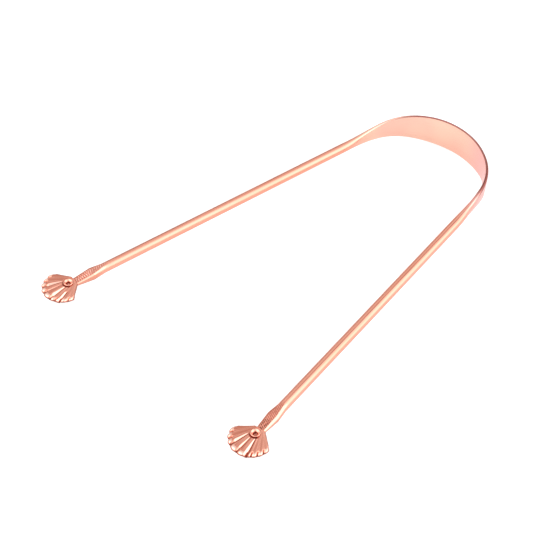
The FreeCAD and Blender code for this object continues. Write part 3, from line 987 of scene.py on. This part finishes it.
def wire_colour(tree, side_name, streaks, along, across, up):
    """Streaks along the wire, the dark line that the die left, and a shaded left side."""
    wire = ramp(tree, streaks, STREAK_LEVELS, (ARM_DEEP, ARM_COPPER))
    off_line = math_node(tree, "ABSOLUTE", math_node(tree, "SUBTRACT", across, DIE_LINE_ACROSS))
    on_line = product(
        tree,
        between(tree, off_line, DIE_LINE_HALF, DIE_LINE_CORE),
        between(tree, up, *DIE_LINE_HEIGHTS),
        between(tree, noise(tree, *DIE_LINE_NOISE), *DIE_LINE_LEVELS),
    )
    wire = mixed(tree, on_line, wire, DIE_LINE_COLOUR)
    at_bend, at_tang = SIDE_SHADE_SHARES[side_name]
    change = product(tree, between(tree, along, *before_rivet(SIDE_SHADE_PLACES)), at_tang - at_bend)
    toward_left = product(tree, across, {"left": 1, "right": -1}[side_name])
    start = SIDE_SHADE_STARTS[side_name]
    on_side = between(tree, toward_left, start, start + SIDE_SHADE_EDGE)
    shade = product(tree, math_node(tree, "ADD", change, at_bend), on_side)
    # Painted shade on the arm's left side
    return mixed(tree, shade, wire, ARM_SHADE)


def tang_colour(tree, side_name, along, across):
    """Dull metal with stains towards the shell and the bright lines of its marks."""
    near_shell = between(tree, along, *before_rivet(STAIN_PLACES))
    stained = product(tree, between(tree, noise(tree, *STAIN_NOISE), *STAIN_LEVELS), near_shell)
    tang = mixed(tree, stained, TANG_COLOURS[side_name], TANG_STAINS[side_name])
    return mixed(tree, mark_lines(tree, side_name, along, across), tang, TANG_MARKS[side_name])


def mark_lines(tree, side_name, along, across):
    """The bright lines on a tang's flats, at the pitch of its hammer or file marks."""
    phase = math_node(tree, "ADD", along, product(tree, across, LINE_SLANT_SHARES[side_name]))
    turns = product(tree, phase, 2 * math.pi * MM / LINE_PITCHES[side_name])
    on_line = between(tree, math_node(tree, "SINE", turns), LINE_LEVELS[side_name], 1.0)
    return product(tree, on_line, between(tree, noise(tree, *LINE_NOISE), *LINE_BREAK_LEVELS))


def flat_gap(tree, along, up):
    """How far a point lies above or below the height of the tang's flat, in millimetres."""
    to_rivet = math_node(tree, "SUBTRACT", rivet_at / MM, along)
    flat = NECK_FLAT / MM
    stretches = (
        (NECK_DISTANCE, NECK_FLAT, SHOULDER_DISTANCE, SHOULDER_FLAT),
        (SHOULDER_DISTANCE, SHOULDER_FLAT, TANG_LENGTH, ROD_RADIUS),
    )
    for start, start_height, end, end_height in stretches:
        rise = add(tree, "ShaderNodeMapRange", Value=to_rivet, From_Min=start / MM, From_Max=end / MM)
        rise.inputs["To Max"].default_value = (end_height - start_height) / MM
        flat = math_node(tree, "ADD", rise.outputs["Result"], flat)
    return math_node(tree, "SUBTRACT", math_node(tree, "ABSOLUTE", up), flat)


# A shell's colours: in the hollows of its fine lines and where wear shows, with one side painted lighter;
# the painted highlight; and the painted shade
SHELL_DEEP = (0.65, 0.22, 0.145)
SHELL_WORN_AND_LIT = (0.92, 0.42, 0.31)
SHELL_HIGHLIGHT = (0.97, 0.60, 0.49)
SHELL_SHADE = (0.37, 0.11, 0.07)
RAY_NOISE = ((0.12, 1.7, 0.5), 3.0)
RAY_LEVELS = (0.42, 0.72)
# One side of the fan has painted light: by how much it is lighter, and between which places across it
LIT_SIDE_SHARE = 0.16
LIT_SIDE_PLACES = (-3, 5)
SHELL_ROUGHNESS = (0.18, 0.26)
SHELL_DULL_ROUGHNESS = 0.36
SHELL_RELIEF_SHARE = 0.08


def shell_material():
    """Pressed copper sheet: polished, with fine lines that run out from the rivet, one side painted
    lighter, and painted highlight and painted shade from the tones.
    """
    material, tree, shader = metal("shell_copper")
    rays = noise(tree, *RAY_NOISE)
    _, across, _ = place_parts(tree)
    # Painted light on one side of the fan, added to the fine lines
    rays_and_lit_side = product(tree, between(tree, across, *LIT_SIDE_PLACES), LIT_SIDE_SHARE)
    rays_and_lit_side = math_node(tree, "ADD", rays, rays_and_lit_side)
    colour = ramp(tree, rays_and_lit_side, RAY_LEVELS, (SHELL_DEEP, SHELL_WORN_AND_LIT))
    tone = tone_of(tree)
    shaded_share = between(tree, tone, *DARK_TONES)
    # Painted highlight and painted shade from the tones
    colour = mixed(tree, between(tree, tone, *BRIGHT_TONES), colour, SHELL_HIGHLIGHT)
    colour = mixed(tree, shaded_share, colour, SHELL_SHADE)
    roughness = roughness_of(tree, rays, SHELL_ROUGHNESS)
    roughness = mixed(tree, shaded_share, roughness, grey(SHELL_DULL_ROUGHNESS))
    finish_metal(tree, shader, colour, roughness, rays, SHELL_RELIEF_SHARE)
    return material


RIVET_COPPER = (0.86, 0.40, 0.29)
RIVET_POLISHED = (0.95, 0.50, 0.38)
RIVET_SHADE = (0.36, 0.105, 0.065)
RING_NOISE = ((0.8, 0.2, 6.0), 3.0)
RING_LEVELS = (0.35, 0.65)
RIVET_ROUGHNESS = (0.16, 0.26)
RIVET_RELIEF_SHARE = 0.05


def rivet_material():
    """Copper polished by handling, with rings left by the rolling tool and painted shade in its hollow and
    at its roll's foot.
    """
    material, tree, shader = metal("rivet_copper")
    rings = noise(tree, *RING_NOISE)
    colour = ramp(tree, rings, RING_LEVELS, (RIVET_COPPER, RIVET_POLISHED))
    # Painted shade in the hollow and at the roll's foot
    colour = mixed(tree, between(tree, tone_of(tree), *DARK_TONES), colour, RIVET_SHADE)
    roughness = roughness_of(tree, rings, RIVET_ROUGHNESS)
    finish_metal(tree, shader, colour, roughness, rings, RIVET_RELIEF_SHARE)
    return material


# Light, floor and camera
CAMERA_PLACE = Vector((-0.23798, -0.22089, 0.33324))
CAMERA_ELEVATION = math.radians(45.969)
CAMERA_AZIMUTH = math.radians(45.143)
CAMERA_ROLL = math.radians(0.048)
CAMERA_LENS = 103.49
CAMERA_SENSOR = 36.0
CAMERA_NEAR = 10 * MM


def make_camera():
    """The photograph's camera, which was fitted to the bow's outline."""
    level = math.cos(CAMERA_ELEVATION)
    ahead = Vector(
        (level * math.cos(CAMERA_AZIMUTH), level * math.sin(CAMERA_AZIMUTH), -math.sin(CAMERA_ELEVATION))
    )
    right = Vector((math.sin(CAMERA_AZIMUTH), -math.cos(CAMERA_AZIMUTH), 0))
    above = right.cross(ahead)
    rolled_right = right * math.cos(CAMERA_ROLL) + above * math.sin(CAMERA_ROLL)
    rolled_above = above * math.cos(CAMERA_ROLL) - right * math.sin(CAMERA_ROLL)
    camera = bpy.data.objects.new("camera", bpy.data.cameras.new("camera"))
    camera.data.lens = CAMERA_LENS
    camera.data.sensor_width = CAMERA_SENSOR
    camera.data.clip_start = CAMERA_NEAR
    axes = Matrix((rolled_right, rolled_above, -ahead)).transposed().to_4x4()
    camera.matrix_world = Matrix.Translation(CAMERA_PLACE) @ axes
    bpy.context.scene.collection.objects.link(camera)
    bpy.context.scene.camera = camera


# The floor: its size and how far it is below the blade, its own grey, and how much it glows to the camera
# and in the metal
FLOOR_SIZE = 6
FLOOR_DROP = 0.05 * MM
FLOOR_ROUGHNESS = 0.9
FLOOR_GREY = 0.62
FLOOR_GLOW = 0.46
MIRRORED_GLOW = 0.25


def make_floor():
    """A floor just below the blade that looks white and still shows the object's shadow."""
    bpy.ops.mesh.primitive_plane_add(size=FLOOR_SIZE, location=(0, 0, -FLOOR_DROP))
    floor = bpy.context.object
    floor.name = "floor"
    material = bpy.data.materials.new("floor_white")
    material.use_nodes = True
    tree = material.node_tree
    shader = tree.nodes["Principled BSDF"]
    shader.inputs["Base Color"].default_value = (*grey(FLOOR_GREY), 1)
    shader.inputs["Roughness"].default_value = FLOOR_ROUGHNESS
    shader.inputs["Specular IOR Level"].default_value = 0.0
    shader.inputs["Emission Color"].default_value = (1, 1, 1, 1)
    path = tree.nodes.new("ShaderNodeLightPath")
    mirrored = math_node(tree, "ADD", path.outputs["Is Glossy Ray"], path.outputs["Is Transmission Ray"])
    mirrored = product(tree, mirrored, MIRRORED_GLOW)
    glow = product(tree, path.outputs["Is Camera Ray"], FLOOR_GLOW)
    tree.links.new(math_node(tree, "ADD", glow, mirrored), shader.inputs["Emission Strength"])
    floor.data.materials.append(material)


# The studio: how bright its walls are, each soft box with its direction and brightness, and the dark far
# side. Edges say how nearly a ray points the way named.
WALLS = 0.87
SOFT_BOXES = (((0.481, -0.687, 0.545), 1.5), ((-0.527, 0.369, 0.766), 1.6))
BOX_EDGES = (0.63, 1.01)
FAR_DIRECTION = (0.707, 0.707, 0)
FAR_EDGES = (0.58, 0.90)
FAR_UPWARD_EDGES = (0.46, 0.20)
FAR_DARKNESS = 0.45


def toward(tree, direction):
    """How nearly each ray points in a direction: 1 straight at it, 0 square to it."""
    dot = tree.nodes.new("ShaderNodeVectorMath")
    dot.operation = "DOT_PRODUCT"
    tree.links.new(tree.nodes.new("ShaderNodeTexCoord").outputs["Generated"], dot.inputs[0])
    dot.inputs[1].default_value = direction
    return dot.outputs["Value"]


def make_world():
    """A studio of even light: a broad soft box on each side of the camera and a darker low far side.
    The camera itself sees white."""
    world = bpy.data.worlds.new("studio")
    bpy.context.scene.world = world
    world.use_nodes = True
    tree = world.node_tree
    background = tree.nodes["Background"]
    boxes = [
        product(tree, between(tree, toward(tree, direction), *BOX_EDGES), brightness)
        for direction, brightness in SOFT_BOXES
    ]
    ahead = between(tree, toward(tree, FAR_DIRECTION), *FAR_EDGES)
    low = between(tree, toward(tree, (0, 0, 1)), *FAR_UPWARD_EDGES)
    level = math_node(tree, "ADD", WALLS, math_node(tree, "MAXIMUM", *boxes))
    level = math_node(tree, "SUBTRACT", level, product(tree, ahead, low, FAR_DARKNESS))
    seen = tree.nodes.new("ShaderNodeLightPath").outputs["Is Camera Ray"]
    to_white = product(tree, seen, math_node(tree, "SUBTRACT", 1, level))
    background.inputs["Color"].default_value = (1, 1, 1, 1)
    tree.links.new(math_node(tree, "ADD", level, to_white), background.inputs["Strength"])


rivet_copper = rivet_material()
shell_copper = shell_material()
for side_name, side, marks in (("left", 1, striations), ("right", -1, hatching)):
    bow_half(side_name, side, marks).data.materials.append(bow_material(side_name))
    finger_shell(side_name, side).data.materials.append(shell_copper)
    rivet(side_name, side).data.materials.append(rivet_copper)

make_camera()
make_floor()
make_world()
bpy.context.scene.view_settings.view_transform = "Standard"
